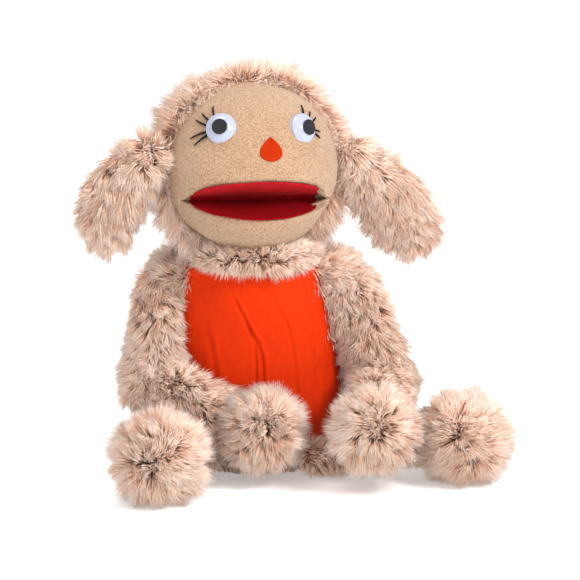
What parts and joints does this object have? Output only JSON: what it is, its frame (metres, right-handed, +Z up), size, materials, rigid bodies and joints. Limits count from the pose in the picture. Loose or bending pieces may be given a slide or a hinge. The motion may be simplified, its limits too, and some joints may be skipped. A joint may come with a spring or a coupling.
{
  "type": "moving mouth hand puppet",
  "caption": "Seated plush hand puppet with a fur body, a fleece face with a hinged moving mouth, drop ears, pompon paws and feet, and an arm tunnel open at the base.",
  "frame": {"origin": "centre of the round arm opening, at the ground under the torso", "axes": "+Z up, -Y the way the puppet faces, +X its own left-hand side"},
  "size_m": [0.427, 0.289, 0.4099],
  "materials": {
    "fur": "long-pile plush, clumped, pinkish beige",
    "stuffing": "loose polyester filling",
    "fleece": "short curly terry fleece, tan",
    "orange_cotton": "plain woven cotton, creased, orange",
    "lining_cotton": "plain woven cotton, undyed",
    "mouth_board": "stiff flat sheet",
    "red_velour": "short velour, red",
    "dark_red_velour": "short velour, dark red",
    "white_plastic": "moulded gloss white",
    "black_plastic": "gloss black",
    "clear_plastic": "natural nylon",
    "orange_thread": "satin-stitched embroidery thread, orange red",
    "black_thread": "embroidery thread, black"
  },
  "bodies": {
    "torso": {"torso_fur": "fur", "belly_panel": "orange_cotton", "belly_wadding": "stuffing", "sleeve_lining": "lining_cotton", "sleeve_hem": "lining_cotton"},
    "collar": {"collar_fur": "fur"},
    "neck": {"neck_sleeve": "lining_cotton"},
    "head": {"hood_fur": "fur", "face_panel": "fleece", "head_stuffing": "stuffing", "upper_mouth_board": "mouth_board", "upper_mouth_lining": "red_velour", "finger_pocket": "lining_cotton", "mouth_hinge_tape": "lining_cotton", "nose": "orange_thread", "right_eye_dome": "white_plastic", "right_pupil": "black_plastic", "right_eye_washer": "clear_plastic", "right_lashes": "black_thread", "left_eye_dome": "white_plastic", "left_pupil": "black_plastic", "left_eye_washer": "clear_plastic", "left_lashes": "black_thread"},
    "jaw": {"chin_panel": "fleece", "chin_stuffing": "stuffing", "lower_mouth_board": "mouth_board", "lower_mouth_lining": "dark_red_velour", "thumb_pocket": "lining_cotton"},
    "right_ear": {"right_ear_fur": "fur", "right_ear_wadding": "stuffing"},
    "left_ear": {"left_ear_fur": "fur", "left_ear_wadding": "stuffing"},
    "right_upper_arm": {"right_upper_arm_fur": "fur", "right_upper_arm_stuffing": "stuffing"},
    "right_forearm": {"right_forearm_fur": "fur", "right_forearm_stuffing": "stuffing"},
    "right_paw": {"right_paw_fur": "fur", "right_paw_stuffing": "stuffing"},
    "right_leg": {"right_leg_fur": "fur", "right_leg_stuffing": "stuffing"},
    "right_foot": {"right_foot_fur": "fur", "right_foot_stuffing": "stuffing"},
    "left_upper_arm": {"left_upper_arm_fur": "fur", "left_upper_arm_stuffing": "stuffing"},
    "left_forearm": {"left_forearm_fur": "fur", "left_forearm_stuffing": "stuffing"},
    "left_paw": {"left_paw_fur": "fur", "left_paw_stuffing": "stuffing"},
    "left_leg": {"left_leg_fur": "fur", "left_leg_stuffing": "stuffing"},
    "left_foot": {"left_foot_fur": "fur", "left_foot_stuffing": "stuffing"}
  },
  "joints": [
    {"name": "neck_turn", "type": "hinge", "parent": "torso", "child": "collar", "pos_m": [-0.004, -0.022, 0.206], "axis": [0, 0, 1], "range_deg": [-40, 40]},
    {"name": "neck_tilt", "type": "hinge", "parent": "collar", "child": "neck", "pos_m": [-0.004, -0.024, 0.25], "axis": [0.225, -0.9744, 0], "range_deg": [-8, 8]},
    {"name": "head_nod", "type": "hinge", "parent": "neck", "child": "head", "pos_m": [-0.004, -0.024, 0.25], "axis": [0.9744, 0.225, 0], "range_deg": [-15, 15]},
    {"name": "jaw_hinge", "type": "hinge", "parent": "head", "child": "jaw", "pos_m": [-0.00029, -0.05657, 0.28102], "axis": [-0.9738, -0.2248, 0.0349], "range_deg": [-22, 28]},
    {"name": "right_ear_flap", "type": "hinge", "parent": "head", "child": "right_ear", "pos_m": [-0.11741, -0.05795, 0.32804], "axis": [-0.225, 0.9744, 0], "range_deg": [0, 55]},
    {"name": "left_ear_flap", "type": "hinge", "parent": "head", "child": "left_ear", "pos_m": [0.1085, -0.0058, 0.31994], "axis": [0.225, -0.9744, 0], "range_deg": [0, 55]},
    {"name": "right_shoulder", "type": "hinge", "parent": "torso", "child": "right_upper_arm", "pos_m": [-0.1, -0.014, 0.176], "axis": [-1, 0, 0], "range_deg": [0, 45]},
    {"name": "right_elbow", "type": "hinge", "parent": "right_upper_arm", "child": "right_forearm", "pos_m": [-0.107, -0.056, 0.093], "axis": [-0.418, -0.9084, 0], "range_deg": [-2, 18]},
    {"name": "right_wrist", "type": "hinge", "parent": "right_forearm", "child": "right_paw", "pos_m": [-0.02891, -0.09194, 0.06812], "axis": [-0.418, -0.9084, 0], "range_deg": [-12, 15]},
    {"name": "right_hip", "type": "hinge", "parent": "torso", "child": "right_leg", "pos_m": [-0.055, -0.074, 0.022], "axis": [-0.9329, 0.3602, 0], "range_deg": [-70, 2]},
    {"name": "right_ankle", "type": "hinge", "parent": "right_leg", "child": "right_foot", "pos_m": [-0.07776, -0.13295, 0.03484], "axis": [-0.9329, 0.3602, 0], "range_deg": [-15, 15]},
    {"name": "left_shoulder", "type": "hinge", "parent": "torso", "child": "left_upper_arm", "pos_m": [0.1, -0.014, 0.176], "axis": [-1, 0, 0], "range_deg": [0, 70]},
    {"name": "left_elbow", "type": "hinge", "parent": "left_upper_arm", "child": "left_forearm", "pos_m": [0.128, -0.02, 0.092], "axis": [-0.9957, 0.0928, 0], "range_deg": [-2, 18]},
    {"name": "left_wrist", "type": "hinge", "parent": "left_forearm", "child": "left_paw", "pos_m": [0.12061, -0.09924, 0.0732], "axis": [-0.9957, 0.0928, 0], "range_deg": [-12, 15]},
    {"name": "left_hip", "type": "hinge", "parent": "torso", "child": "left_leg", "pos_m": [0.06, -0.074, 0.022], "axis": [-0.1207, -0.9927, 0], "range_deg": [-70, 2]},
    {"name": "left_ankle", "type": "hinge", "parent": "left_leg", "child": "left_foot", "pos_m": [0.16283, -0.08651, 0.03728], "axis": [-0.1207, -0.9927, 0], "range_deg": [-15, 15]}
  ]
}
